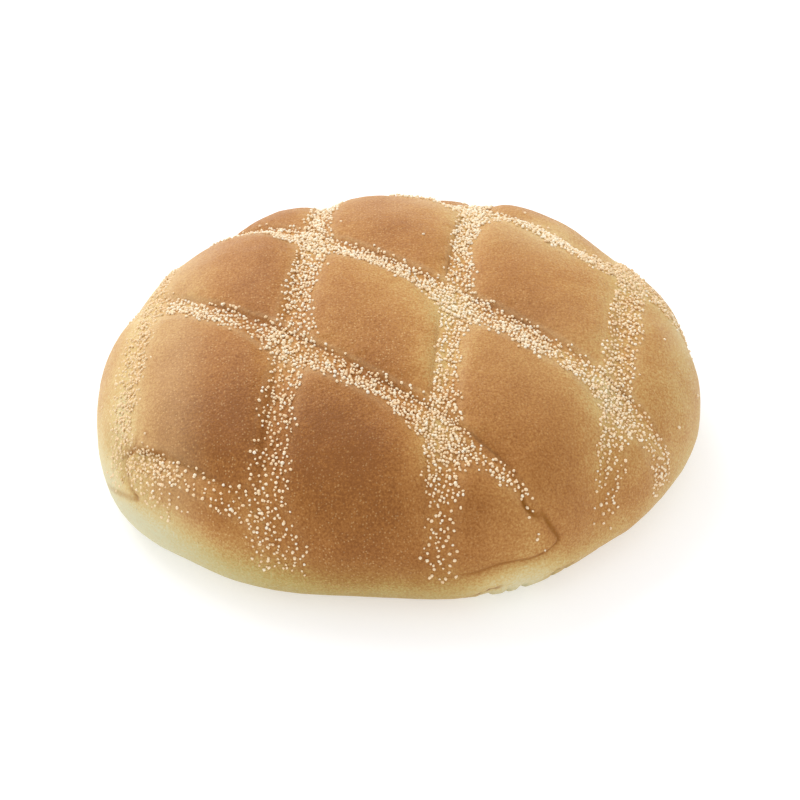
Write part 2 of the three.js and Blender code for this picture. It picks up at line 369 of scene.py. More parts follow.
def lattice(point, normal):
    """Both families joined by a power mean: the closeness and the pressing strength, with each
    family's own fields beside them."""
    slanted = closest_groove(point, normal, SLANTED)
    upright = closest_groove(point, normal, UPRIGHT)
    power = np.where(slanted["signed"] > 0, KEEN_CORNER, BLUNT_CORNER)
    close = (slanted["close"] ** power + upright["close"] ** power) ** (1 / power)
    share_a, share_b = slanted["close"] ** 2 + 1e-9, upright["close"] ** 2
    strength = (slanted["strength"] * share_a + upright["strength"] * share_b) / (share_a + share_b)
    joined = dict(close=np.minimum(close, 1), strength=strength)
    for key in ("signed", "from_crease", "outside", "fill"):
        joined[key + "_a"], joined[key + "_b"] = slanted[key], upright[key]
    return joined


def broad_hollows(point):
    """The mounds of the broad hollows, fading to nothing at the foot."""
    return mounds(point, BROAD_HOLLOWS) * smoothstep(point[..., 2], 0, 1.5)


def crease_press(field):
    """Extra depth along the creases, and a slight swell of the flank above each: two bell curves
    of the distance from the crease."""
    total = 0
    for family, tag in ((SLANTED, "_a"), (UPRIGHT, "_b")):
        off = field["from_crease" + tag]
        profile = bell(off, CREASE_WIDTH) - SWELL_SHARE * bell(off - SWELL_OFF, SWELL_WIDTH)
        total = total + family["crease_depth"] * profile
    return field["strength"] * total


# ---- Folds where one lobe laps over what lies beside it ----

# Each stop is: angle around the bun in degrees, height, how far the lapping side's lip stands out, how
# far the crust beside it is drawn in, the depth of the slit between them, and how dark the painted shade
# in the slit is, which also darkens the crust a little beside it. The lapping side lies to the left of
# the way that the stops run.
FRONT_FOLD = [
    (276, 10.6, 0, 0, 0, 0),
    (281.5, 11.0, 0.1, 0.1, 0.05, 0.3),
    (285, 11.2, 0.2, 0.3, 0.12, 0.75),
    (288, 12.0, 0.3, 0.5, 0.18, 0.9),
    (290.5, 12.3, 0.3, 0.6, 0.18, 0.9),
    (293.6, 12.2, 0.3, 0.6, 0.15, 0.75),
    (296, 12.0, 0.3, 0.6, 0.22, 0.95),
    (299.5, 12.5, 0.3, 0.6, 0.30, 1.0),
    (301.6, 13.5, 0.3, 0.5, 0.45, 1.0),
    (302.1, 14.5, 0.2, 0.3, 0.45, 1.0),
    (301.1, 16.5, 0.1, 0.15, 0.40, 0.9),
    (300.2, 18.5, 0.05, 0.1, 0.40, 0.95),
    (299.3, 20.3, 0, 0, 0.25, 0.7),
    (298.6, 21.3, 0, 0, 0, 0),
]
UPPER_CRACK = [
    (299.6, 19.3, 0, 0, 0, 0),
    (298.0, 20.2, 0.05, 0, 0.25, 0.7),
    (296.9, 21.4, 0.1, 0, 0.6, 1.0),
    (296.1, 22.8, 0.1, 0, 0.6, 1.0),
    (296.4, 24.4, 0.05, 0, 0.30, 0.7),
    (296.4, 26.2, 0, 0, 0.2, 0.5),
    (295.5, 27.8, 0, 0, 0.1, 0.3),
    (293.6, 29.6, 0, 0, 0, 0),
]
LEFT_TONGUE = [
    (208.2, 24.2, 0, 0, 0, 0),
    (209.9, 22.6, 0.1, 0.1, 0.15, 0.4),
    (210.0, 21.0, 0.1, 0.3, 0.25, 0.8),
    (209.3, 19.6, 0.25, 0.6, 0.35, 1.0),
    (209.4, 18.2, 0.3, 0.8, 0.35, 1.0),
    (210.5, 17.2, 0.3, 0.9, 0.28, 0.9),
    (212.2, 16.4, 0.3, 0.9, 0.25, 0.8),
    (213.8, 15.7, 0.3, 0.8, 0.22, 0.7),
    (215.4, 15.0, 0.3, 0.7, 0.20, 0.7),
    (216.3, 14.5, 0.25, 0.35, 0.16, 0.6),
    (214.4, 13.5, 0.25, 0.12, 0.08, 0.35),
    (211.5, 12.1, 0.25, 0.12, 0.10, 0.4),
    (208.5, 10.6, 0.2, 0.08, 0.08, 0.35),
    (205.0, 8.8, 0.1, 0.05, 0.04, 0.2),
    (202.0, 7.2, 0, 0, 0, 0),
]
LEFT_STEP = [
    (209.8, 21.2, 0, 0, 0.1, 0.3),
    (211.2, 22.1, 0.15, 0.3, 0.14, 0.5),
    (213.0, 22.5, 0.2, 0.35, 0.2, 0.75),
    (214.6, 23.2, 0.2, 0.35, 0.15, 0.6),
    (216.0, 23.6, 0.2, 0.3, 0.18, 0.75),
    (217.3, 24.2, 0.1, 0.2, 0.08, 0.35),
    (218.6, 24.4, 0, 0, 0, 0),
]
FLAP_NICK = [
    (218.6, 24.2, 0, 0, 0, 0.2),
    (218.2, 23.3, 0.1, 0.2, 0.2, 0.8),
    (217.6, 22.4, 0.1, 0.1, 0.15, 0.6),
    (217.1, 21.7, 0, 0, 0, 0),
]
FLAP_EDGE = [
    (239, 23.3, 0, 0, 0, 0),
    (233, 23.8, 0.1, 0.1, 0, 0.05),
    (229, 23.8, 0.15, 0.2, 0.03, 0.15),
    (226.4, 24.0, 0.2, 0.25, 0.05, 0.25),
    (223.2, 23.9, 0.25, 0.25, 0.05, 0.3),
    (220.5, 23.9, 0.2, 0.2, 0.05, 0.25),
    (218.4, 23.9, 0.1, 0.1, 0.05, 0.2),
]
RIM_SLIT = [
    (281.5, 2.2, 0, 0, 0, 0),
    (284, 3.2, 0.1, 0.15, 0.15, 0.5),
    (286.5, 4.2, 0.15, 0.3, 0.3, 0.9),
    (288.2, 5.3, 0.15, 0.3, 0.3, 1.0),
    (289.8, 6.1, 0.1, 0.1, 0.15, 0.6),
    (291, 6.4, 0, 0, 0, 0),
]
RIM_SLIVER = [
    (299.5, 3.6, 0, 0, 0, 0),
    (301.5, 5.0, 0.1, 0.4, 0.15, 0.6),
    (304, 5.2, 0.1, 0.5, 0.15, 0.6),
    (306.5, 5.0, 0.1, 0.3, 0.1, 0.5),
    (308.5, 4.6, 0, 0, 0, 0),
]
FOLDS = [FRONT_FOLD, UPPER_CRACK, LEFT_TONGUE, LEFT_STEP, FLAP_NICK, FLAP_EDGE, RIM_SLIT, RIM_SLIVER]

# How far a fold reaches, the rounding between its two sides, the lengths over which its lip and its
# recess fade, the half-width of its slit, and the recess that counts as a whole one.
FOLD_REACH, EDGE_ROUNDING, LIP_FADE, RECESS_FADE, SLIT_WIDTH, WHOLE_RECESS = 12, 0.25, 4.0, 3.0, 0.45, 0.6
NO_FOLD = 9.0  # the distance given where no fold is near


def smooth_path(stops, steps=7):
    """A Catmull-Rom curve through every column of the stops, its angle turned into millimetres
    around the girth."""
    knots = np.array(stops, float)
    knots[:, 0] = np.radians(knots[:, 0]) * RADIUS
    padded = np.concatenate([[2 * knots[0] - knots[1]], knots, [2 * knots[-1] - knots[-2]]])
    p0, p1, p2, p3 = (padded[k : len(padded) - 3 + k, None] for k in range(4))
    t = (np.arange(steps) / steps)[None, :, None]
    curve = p1 + 0.5 * t * (p2 - p0 + t * (2 * p0 - 5 * p1 + 4 * p2 - p3 + t * (3 * (p1 - p2) + p3 - p0)))
    return np.concatenate([curve.reshape(-1, knots.shape[1]), knots[-1:]])


def distance_to_path(spot, path):
    """Signed distance from each spot to a chain of segments, positive to its left, and the
    path's other columns at the nearest point."""
    best = np.full(len(spot), 1e9)
    signed = np.zeros(len(spot))
    values = np.zeros((len(spot), path.shape[1] - 2))
    for start, end in zip(path, path[1:]):
        chord = end[:2] - start[:2]
        t = np.clip((spot - start[:2]) @ chord / (chord @ chord), 0, 1)
        off = spot - start[:2] - t[:, None] * chord
        distance = np.hypot(off[:, 0], off[:, 1])
        side = np.sign(chord[0] * off[:, 1] - chord[1] * off[:, 0])
        nearer = distance < best
        best = np.where(nearer, distance, best)
        signed = np.where(nearer, side * distance, signed)
        values = np.where(nearer[:, None], start[2:] + t[:, None] * (end[2:] - start[2:]), values)
    return signed, values


def fold_relief(angle, height):
    """Outward push of the folds: a lip that fades away from the fold on one side, a recess that fades on
    the other, and a bell-shaped slit between them. Beside it, the distance from the nearest slit, how
    dark the painted shade of that slit is close by, and the recess by itself from 0 to 1."""
    spot = np.stack([np.mod(angle, 2 * math.pi) * RADIUS, height], -1)
    push, strength, recesses = np.zeros((3, len(spot)))
    distance = np.full(len(spot), NO_FOLD)
    for stops in FOLDS:
        path = smooth_path(stops)
        low, high = path[:, :2].min(0) - FOLD_REACH, path[:, :2].max(0) + FOLD_REACH
        near = np.flatnonzero(np.all((spot > low) & (spot < high), axis=1))
        signed, values = distance_to_path(spot[near], path)
        lip, recess, slit, dark = values.T
        left = 0.5 + 0.5 * np.tanh(signed / EDGE_ROUNDING)
        lapping = left * np.exp(-np.abs(signed) / LIP_FADE)
        beside = (1 - left) * np.exp(-np.abs(signed) / RECESS_FADE)
        push[near] += lip * lapping - recess * beside - slit * bell(signed, SLIT_WIDTH)
        nearer = np.abs(signed) < np.abs(distance[near])
        distance[near] = np.where(nearer, signed, distance[near])
        strength[near] = np.where(nearer, dark * (1 - smoothstep(np.abs(signed), 1, 2)), strength[near])
        recesses[near] = np.maximum(recesses[near], np.minimum(recess / WHOLE_RECESS, 1) * beside)
    return push, distance, strength, recesses


# ---- The crust ----


def crust(angle, turn):
    """Points of the crust, and the fields that its colour and its grains follow. The body is pushed
    along its normal by the sum of the lattice, the hollows, the creases, the folds, the torn rim,
    the waves and the mealiness, and nothing goes below the ground."""
    point = body_point(angle, turn)
    normal = body_normal(angle, turn)
    height = point[:, 2]
    field = lattice(point, normal)
    close, strength = field["close"], field["strength"]
    push = -strength * (PILLOW_DEPTH * close**2 + CHANNEL_DEPTH * smoothstep(close, *CHANNEL_WALL))
    push += broad_hollows(point) - crease_press(field)

    folds, fold_distance, fold_share, recess = fold_relief(angle, height)
    above_foot = smoothstep(height, 0.3, 4)
    push += folds * above_foot
    push += ragged_rim(angle, height)

    crumbly = crumbly_patch(angle, height)
    bed = strength * smoothstep(close, 0.6, 0.8)
    push += above_foot * layered_noise(point, SKIN_WAVES)
    push += (BED_MEALINESS * bed + PATCH_MEALINESS * crumbly) * value_noise(point, MEALY_CELL, MEALY_SEED)

    # How dark the painted shade in the slits is, fading at the ground.
    fold_share = fold_share * smoothstep(height, 0.5, 2)
    field.update(fold_distance=fold_distance, fold_share=fold_share, recess=recess)
    field.update(crumbly=crumbly, body=point, normal=normal)
    field["angle"] = np.mod(angle, 2 * math.pi)
    moved = point + normal * push[:, None]
    moved[:, 2] = np.maximum(moved[:, 2], 0)
    return moved, field


def crumbly_patch(angle, height):
    """1 in the broken patch under the left front lobe, fading at its edges. The edge at its left
    slants away below, along the tongue."""
    degrees = np.degrees(np.mod(angle, 2 * math.pi))
    left_edge = 209.5 + 2.4 * np.maximum(17.5 - height, 0)
    around = smoothstep(degrees - left_edge, 0, 3) * (1 - smoothstep(degrees, 219, 229))
    return around * between(height, *PATCH_HEIGHTS)


def ragged_rim(angle, height):
    """A thin torn rim at the foot of the right front: drawn in, with teeth that step out of it
    every couple of millimetres, both growing towards the foot."""
    degrees = np.degrees(np.mod(angle, 2 * math.pi))
    place = np.stack([degrees, np.zeros_like(degrees), np.zeros_like(degrees)], -1)
    teeth = smoothstep(value_noise(place, TOOTH_CELL, TOOTH_SEED), -0.12, 0.12)
    low = 1 - smoothstep(height, 1.5, 7.0 - 2.5 * teeth)
    return between(degrees, *TORN_RIM) * low * (TOOTH_HEIGHT * teeth - RIM_DRAWN_IN)


def dome_sites(rings, jitter=0.0, seed=0):
    """Angle and turn of the vertices of nested rings, ring r with 6 r of them. The inner rings
    are hexagons whose rows run along the grooves, and they turn into circles at the girth. Jitter
    moves each vertex at random by up to that share of a step."""
    ring = np.repeat(np.arange(1, rings + 1), 6 * np.arange(1, rings + 1))
    start = 3 * ring * (ring - 1)
    i = np.arange(len(ring)) - start
    side = i // ring
    share = (i % ring) / ring
    if jitter:
        rng = np.random.default_rng(seed)
        ring = ring + rng.uniform(-jitter, jitter, len(ring))
        share = share + rng.uniform(-jitter, jitter, len(ring)) / np.maximum(ring, 1)
    x = 1 - share + share * 0.5
    y = share * math.sin(math.pi / 3)
    rounded = np.clip(ring / rings, 0, 1) ** 3
    turned = (1 - rounded) * np.arctan2(y, x) + rounded * share * math.pi / 3
    reach = (1 - rounded) * np.hypot(x, y) + rounded
    angle = math.radians(ROW_DIRECTION) + side * math.pi / 3 + turned
    return angle, dome_turn(np.clip(reach * ring / rings, 0, 1))


def dome_faces(rings):
    """Triangles between nested rings. Vertex 0 is the crown, and ring r starts at 3 r (r - 1) + 1."""
    ring = np.repeat(np.arange(1, rings + 1), 6 * np.arange(1, rings + 1))
    i = np.arange(len(ring)) - 3 * ring * (ring - 1)
    into = i // ring * (ring - 1) + i % ring

    def outer(j):
        """Vertex j of the ring, counted around it."""
        return 3 * ring * (ring - 1) + 1 + j % (6 * ring)

    def inner(j):
        """Vertex j of the ring inside it, which is the crown for the first ring."""
        start = np.where(ring > 1, 3 * (ring - 1) * (ring - 2) + 1, 0)
        return start + j % np.maximum(6 * (ring - 1), 1)

    wide = np.stack([outer(i), outer(i + 1), inner(into)], -1)
    narrow = np.stack([outer(i + 1), inner(into + 1), inner(into)], -1)
    return np.concatenate([wide, narrow[i % ring < ring - 1]])


def band_faces(upper, lower, count):
    """Two triangles for each step around, between two closed rings of the same count."""
    i = np.arange(count)
    j = (i + 1) % count
    first = np.stack([upper + i, lower + i, lower + j], -1)
    second = np.stack([upper + i, lower + j, upper + j], -1)
    return np.concatenate([first, second])


def bands_between(starts, count):
    """The faces between each two neighbours of a list of closed rings, given by where they start."""
    return [band_faces(upper, lower, count) for upper, lower in zip(starts, starts[1:])]


def underside(foot):
    """Rings drawn in from the foot to one middle vertex, a little hollow: the hollow grows with the
    square root of the way in. Beside the points, the way in of each from 0 to 1."""
    shares = 1 - np.arange(1, UNDER_RINGS + 1) / (UNDER_RINGS + 1)
    rings = foot[None] * shares[:, None, None]
    waves = 1 + value_noise(rings, UNDER_CELL, UNDER_SEED)
    rings[..., 2] = UNDER_WAVES * waves * (1 - shares[:, None]) ** 0.5
    points = np.concatenate([rings.reshape(-1, 3), [[0, 0, UNDER_MIDDLE]]])
    return points, np.append(np.repeat(1 - shares, len(foot)), 1)


def crust_mesh():
    """The whole closed skin: the dome's nested rings, the side's rings down to the foot, and the
    underside's rings drawn in to one middle vertex, which take their fields from the foot."""
    edge = 6 * DOME_RINGS
    angle, turn = dome_sites(DOME_RINGS)
    rim = math.radians(ROW_DIRECTION) + 2 * math.pi * np.arange(edge) / edge
    tuck = math.pi / 2 * (1 + np.arange(1, SIDE_RINGS + 1) / SIDE_RINGS)
    angle = np.concatenate([[0.0], angle, np.tile(rim, SIDE_RINGS)])
    turn = np.concatenate([[0.0], turn, np.repeat(tuck, edge)])
    points, field = crust(angle, turn)
    points[-edge:, 2] = 0
    girth = len(points) - (SIDE_RINGS + 1) * edge
    side_starts = [girth + k * edge for k in range(SIDE_RINGS + 1)]
    under_starts = [side_starts[-1] + k * edge for k in range(UNDER_RINGS + 1)]

    below, inward = underside(points[-edge:])
    i = np.arange(edge)
    last, middle = under_starts[-1], under_starts[-1] + edge
    cap = np.stack([last + i, np.full(edge, middle), last + (i + 1) % edge], -1)
    faces = [dome_faces(DOME_RINGS)]
    faces += bands_between(side_starts, edge) + bands_between(under_starts, edge) + [cap]

    ring = np.append(np.tile(i, UNDER_RINGS), 0)
    field = {key: np.concatenate([values, values[-edge:][ring]]) for key, values in field.items()}
    field["body"][-len(below) :] = below
    field["under"] = np.concatenate([np.zeros(len(angle)), smoothstep(inward, 0, 0.4)])
    return np.concatenate([points, below]), np.concatenate(faces), field


def make_piece(name, points, faces, material, attributes):
    """A smooth-shaded mesh from whole arrays of points in metres and of triangles, with one
    number per vertex for each named attribute."""
    mesh = bpy.data.meshes.new(name)
    mesh.vertices.add(len(points))
    mesh.vertices.foreach_set("co", points.astype(np.float32).ravel())
    mesh.loops.add(faces.size)
    mesh.loops.foreach_set("vertex_index", faces.astype(np.int32).ravel())
    mesh.polygons.add(len(faces))
    mesh.polygons.foreach_set("loop_start", np.arange(0, faces.size, 3, dtype=np.int32))
    mesh.update(calc_edges=True)
    mesh.polygons.foreach_set("use_smooth", np.ones(len(faces), bool))
    for key, values in attributes.items():
        layer = mesh.attributes.new(key, "FLOAT", "POINT")
        layer.data.foreach_set("value", values.astype(np.float32))
    mesh.validate()
    mesh.materials.append(material)
    piece = bpy.data.objects.new(name, mesh)
    bpy.context.scene.collection.objects.link(piece)
    return piece


# ---- How the crust is baked ----

# Browning of the crown, how much paler its far left and far right are, and that of the foot and of
# the underside, all from 0 where dough is pale cream to 1 where it is dark brown.
CROWN_BAKE, LEFT_PALER, RIGHT_PALER, FOOT_BAKE, HEARTH_BAKE = 0.52, 0.20, 0.16, 0.21, 0.46

# Mottling of the browning, as the size of its cells, its height and the seed of its noise, and how
# much stronger it is on the underside.
MOTTLING, HEARTH_MOTTLING = [(12, 0.05, 21), (4.5, 0.035, 22)], 1.5

# Stretches around the bun, each as its middle in degrees and its half-width in radians; the last one is
# where the painted shade along the foot is strongest.
LEFT_FRONT, FRONT, RIGHT_FRONT, PAINTED_SHADE_FRONT = (212, 0.52), (268, 0.34), (320, 0.25), (258, 0.62)
FRONT_MIDDLE = math.radians(270)

# Spots that caught more heat or less, as x, y, radius and the change of browning.
HEATED = [
    (-50, -2, 9, 0.04),
    (58, -3, 7, -0.06),
    (-21, -29, 4, -0.07),
    (0, -29, 4, -0.07),
    (7, -38, 5, -0.08),
    (-43, -18, 6, 0.07),
    (-48, -28, 5, 0.09),
    (-39, -44, 6, 0.07),
    (-42, -28, 5, 0.10),
    (4, -56, 6, 0.03),
    (24, -7, 5, 0.03),
    (-14, -16, 5, -0.06),
    (27, -52, 5, -0.09),
    (-19, -56, 6, -0.10),
    (-11, -41, 13, 0.42),
    (-31, -32, 9, 0.32),
    (25, -42, 12, 0.20),
    (15, -51, 6, 0.15),
    (-3, -18, 9, 0.20),
    (-27, 2, 8, 0.20),
    (2, 17, 9, 0.13),
    (22, 2, 9, 0.22),
    (19, -25, 6, 0.12),
    (52, 14, 14, 0.10),
    (20, 44, 14, 0.10),
    (-27, 33, 11, 0.13),
    (-25, 12, 11, 0.13),
    (-24, -9, 7, 0.14),
    (-14, -18, 5, -0.13),
    (-10, 29, 11, 0.09),
    (-8, -50, 11, 0.12),
    (-27, -20, 8, 0.10),
    (-26, -46, 8, 0.09),
    (21, -54, 8, -0.08),
    (44, 16, 15, -0.14),
    (7, -20, 5, -0.22),
    (8, -4, 5, -0.14),
    (4, -41, 5, -0.13),
    (-38, 4, 6, -0.10),
    (-55, 6, 7, 0.10),
    (9, 35, 5, -0.10),
    (29, 29, 6, -0.16),
    (57, 2, 7, -0.08),
    (50, -2, 12, 0.06),
    (25, -7, 6, 0.09),
    (-22, -13, 8, 0.08),
    (2, -57, 6, 0.08),
    (-45, -4, 11, 0.06),
    (-54, -30, 7, -0.04),
    (40, -24, 7, -0.07),
]
HEATED_BREADTH = 2  # their bells are broader by the square root of this

# Spots with more flour, as x, y, radius and the share that it covers.
FLOURED = [
    (30, 27, 9, 0.22),
    (32, -15, 16, 0.05),
    (16, -8, 4, 0.08),
    (8, 41, 5, 0.10),
    (-55, -24, 6, 0.06),
]

# Flour on the left lobes, and in the fringes along the slanted and along the upright bands.
LEFT_FLOUR, FRINGES = 0.12, (("_a", 0.11), ("_b", 0.06))
FRINGE_OFF, FRINGE_WIDTH = 0.2, 0.45


def facing(angle, stretch):
    """A bell curve of the angle around the bun, about the middle of a stretch."""
    middle, width = stretch
    return bell(angle - math.radians(middle), width)


def torn_skirt(angle, height):
    """1 on the pale skirt below the front fold, fading around and upwards."""
    return between(np.degrees(angle), *PALE_SKIRT) * (1 - smoothstep(height, 8.5, 12.5))


def lobe_rims(field):
    """How much paler the lobes are along the grooves: with the nearness to a slanted groove on its
    gentle side, and with that to an upright one to the power of one and a half on both sides."""
    a, b = field["signed_a"], field["signed_b"]
    beside_a = np.maximum(1 - np.abs(a) / 12, 0) * (a < 0)
    beside_b = np.maximum(1 - np.abs(b) / 9, 0) ** 1.5
    return 0.16 * beside_a + np.where(b > 0, 0.24, 0.18) * beside_b


def browning(field):
    """How far each spot of the crust is baked: a middling crown with well baked spots and paler lobe
    rims, which passes over the sides into a pale foot. It is paler on the skirt and in the broken patch,
    and the underside has a browning of its own. Painted shade makes it browner in the left front's
    recesses and beside the slits of the folds."""
    body, angle = field["body"], field["angle"]
    x, z = body[..., 0], body[..., 2]
    mottling = layered_noise(body, MOTTLING)
    lobes = CROWN_BAKE - LEFT_PALER * smoothstep(-x, 34, 58) - RIGHT_PALER * smoothstep(x, 42, 60)
    lobes = lobes + mounds(body, HEATED, HEATED_BREADTH) + mottling
    lobes = lobes - smoothstep(z, 12, 24) * lobe_rims(field)

    left_front, front, right = (facing(angle, place) for place in (LEFT_FRONT, FRONT, RIGHT_FRONT))
    foot = FOOT_BAKE - 0.20 * left_front + 0.07 * front + 0.09 * right
    pale_to = 9.5 + 3.8 * left_front - 0.3 * front - 1.3 * right + 1.2 * value_noise(body, 14, 23)
    baked = foot + (lobes - foot) * smoothstep(z, pale_to - 4.5, pale_to + 7.5)
    baked = baked - 0.15 * torn_skirt(angle, z) - 0.06 * field["crumbly"]
    # Painted shade in the left front's recesses and beside the slits of the folds.
    baked = baked + 0.20 * field["recess"] * (angle < FRONT_MIDDLE)
    baked = baked + 0.10 * field["fold_share"] * bell(field["fold_distance"], 1.3)
    hearth = HEARTH_BAKE + HEARTH_MOTTLING * mottling
    return np.clip(baked + (hearth - baked) * field["under"], 0, 1)


def floury_film(field):
    """How much fine flour clings to the crust: a little on the left lobes, some in a few spots, and
    most in a fringe along the edges of each band of grains."""
    x, y, z = np.moveaxis(field["body"], -1, 0)
    film = LEFT_FLOUR * smoothstep(-x, 34, 44) + mounds(field["body"], FLOURED)
    for tag, share in FRINGES:
        fringe = bell(field["outside" + tag] - FRINGE_OFF, FRINGE_WIDTH)
        fringe = fringe * (1 - 0.7 * smoothstep(-y, 22, 40))
        film = film + share * fringe * smoothstep(field["fill" + tag], 0.1, 0.5)
    return film * smoothstep(z, 8, 14)


def painted_shade_share(field):
    """How much painted shade darkens the crust: along the foot, strongly in front and less towards both
    sides, at the very foot all around, in the recesses beside the folds, and weakly on the underside."""
    z, angle = field["body"][:, 2], field["angle"]
    foot_shade = (0.05 + 0.95 * facing(angle, PAINTED_SHADE_FRONT)) * (1 - smoothstep(z, 8, 17))
    foot_shade = foot_shade * (1 - 0.8 * torn_skirt(angle, z))
    # Painted shade at the very foot, where the bun meets the ground, and in the recesses beside the
    # folds.
    foot_shade = np.maximum(foot_shade, 0.6 * (1 - smoothstep(z, 2, 6.5)))
    shaded = field["recess"] * np.where(angle < FRONT_MIDDLE, 0.7, 1 - smoothstep(z, 6, 8))
    return np.maximum(foot_shade, shaded) * (1 - 0.7 * field["under"])


def crust_looks(field):
    """What the crust's material reads: the browning, the painted shade along the foot and in the
    recesses, the flour, how coarse its mealiness is, and the distance and the strength of each line of
    painted shade along the creases and in the slits."""
    body = field["body"]
    coarse = 0.42 + 0.2 * value_noise(body, 16, 25) - 0.22 * smoothstep(body[:, 0], -5, 30)
    looks = dict(baked=browning(field), painted_shade=painted_shade_share(field), coarse=np.clip(coarse, 0.04, 0.7))
    looks["floury"] = floury_film(field)
    # Painted shade along the creases where the lobes meet the beds of grains, broken up, strongest for
    # the slanted grooves and for the upright ones towards the back.
    broken = smoothstep(value_noise(body, 5, 24), -0.5, 0.3)
    in_groove = field["strength"] * smoothstep(field["close"], 0.5, 0.7)
    for tag, share in (("a", 0.42), ("b", 0.12 + 0.26 * smoothstep(body[:, 1], -2, 8))):
        looks[f"crease_{tag}_distance"] = field["from_crease_" + tag]
        looks[f"crease_{tag}_share"] = share * in_groove * broken
    looks["fold_distance"], looks["fold_share"] = field["fold_distance"], field["fold_share"]
    return looks


# ---- Materials ----

# Fineness of each pattern, in cells per metre.
BLOTCHES, MEAL, SPECKS, PORES, WANDERING, BUMPS = 160.0, 2300.0, 1700.0, 620.0, 600.0, 1300.0

CRUST_STOPS = [
    (0.00, (0.70, 0.655, 0.45)),
    (0.12, (0.68, 0.55, 0.275)),
    (0.25, (0.63, 0.425, 0.155)),
    (0.40, (0.56, 0.312, 0.099)),
    (0.55, (0.480, 0.224, 0.059)),
    (0.70, (0.405, 0.170, 0.040)),
    (0.85, (0.332, 0.126, 0.024)),
    (1.00, (0.250, 0.086, 0.014)),
]
# The colour that the crust is multiplied by where painted shade lies along the foot and in the recesses.
PAINTED_SHADE_COLOUR = (0.72, 0.75, 0.60, 1)
FLOUR_COLOUR = (0.85, 0.75, 0.47, 1)
SPECK_COLOUR = (0.72, 0.47, 0.21, 1)
# Colour of the painted shade along the creases, and of the dark pores.
CREASE_SHADE_AND_PORE_COLOUR = (0.16, 0.060, 0.011, 1)
# Colour of the painted shade in the slits of the folds.
SLIT_SHADE_COLOUR = (0.30, 0.112, 0.010, 1)

# The lines of painted shade, along the creases and in the slits of the folds, each with its half-width
# and its colour.
PAINTED_SHADE_LINES = [
    ("crease_a", 0.42, CREASE_SHADE_AND_PORE_COLOUR),
    ("crease_b", 0.35, CREASE_SHADE_AND_PORE_COLOUR),
    ("fold", 0.85, SLIT_SHADE_COLOUR),
]

IVORY_STOPS = [(0.0, (0.95, 0.875, 0.715)), (0.5, (0.94, 0.80, 0.57)), (1.0, (0.93, 0.73, 0.47))]
TOASTED_STOPS = [
    (0.00, (0.95, 0.78, 0.54)),
    (0.50, (0.88, 0.65, 0.39)),
    (0.75, (0.82, 0.63, 0.39)),
    (1.00, (0.70, 0.51, 0.27)),
]


def new_material(name):
    """An empty material whose one shader goes to its surface."""
    material = bpy.data.materials.new(name)
    material.use_nodes = True
    tree = material.node_tree
    tree.nodes.clear()
    output = tree.nodes.new("ShaderNodeOutputMaterial")
    shader = tree.nodes.new("ShaderNodeBsdfPrincipled")
    tree.links.new(shader.outputs["BSDF"], output.inputs["Surface"])
    return material, tree, shader


def add(tree, kind, inputs=None, **settings):
    """One node, with its settings and its input values or links."""
    node = tree.nodes.new(kind)
    for key, value in settings.items():
        setattr(node, key, value)
    for key, value in (inputs or {}).items():
        if isinstance(value, bpy.types.NodeSocket):
            tree.links.new(value, node.inputs[key])
        else:
            node.inputs[key].default_value = value
    return node


def attribute(tree, name):
    """A number that the mesh holds for each vertex."""
    return add(tree, "ShaderNodeAttribute", attribute_name=name).outputs["Fac"]


def math_node(tree, operation, a, b=0.5, clamp=False):
    """One sum, product or comparison of two numbers, held from 0 to 1 if clamped."""
    return add(tree, "ShaderNodeMath", {0: a, 1: b}, operation=operation, use_clamp=clamp).outputs[0]


def rescale(tree, value, low, high, at_low, at_high, curve="LINEAR"):
    """The span from low to high carried onto the span from at_low to at_high, held at its ends."""
    inputs = {"Value": value, "From Min": low, "From Max": high, "To Min": at_low, "To Max": at_high}
    return add(tree, "ShaderNodeMapRange", inputs, interpolation_type=curve).outputs["Result"]


def swing(tree, factor, width):
    """A factor from 0 to 1 turned into a shift from minus half the width to plus half."""
    return rescale(tree, factor, 0.0, 1.0, -width / 2, width / 2)


def noise(tree, place, scale, detail=2.0, roughness=0.5):
    """A soft cloudy pattern from 0 to 1."""
    inputs = {"Vector": place, "Scale": scale, "Detail": detail, "Roughness": roughness}
    return add(tree, "ShaderNodeTexNoise", inputs).outputs["Fac"]


def spots(tree, place, scale, channel, above, radius):
    """Round spots of a radius, in cell widths, about scattered points: only those points have one
    whose own random number, read from a colour channel, is high enough."""
    inputs = {"Vector": place, "Scale": scale, "Randomness": 1.0}
    points = add(tree, "ShaderNodeTexVoronoi", inputs, feature="F1").outputs
    pick = add(tree, "ShaderNodeSeparateColor", {"Color": points["Color"]}).outputs[channel]
    inside = rescale(tree, points["Distance"], radius * 0.5, radius, 1.0, 0.0)
    return math_node(tree, "MULTIPLY", inside, math_node(tree, "GREATER_THAN", pick, above))


def ramp(tree, factor, stops):
    """A colour read off a row of colours at their places from 0 to 1."""
    node = add(tree, "ShaderNodeValToRGB", {"Fac": factor})
    elements = node.color_ramp.elements
    while len(elements) < len(stops):
        elements.new(0.5)
    for element, (position, colour) in zip(elements, stops):
        element.position = position
        element.color = (*colour, 1)
    return node.outputs["Color"]


def blend(tree, share, colour, over, way="MIX"):
    """A share of one colour laid over another."""
    node = add(tree, "ShaderNodeMix", data_type="RGBA", blend_type=way)
    tree.links.new(share, node.inputs["Factor"])
    tree.links.new(colour, node.inputs["A"])
    node.inputs["B"].default_value = over
    return node.outputs["Result"]


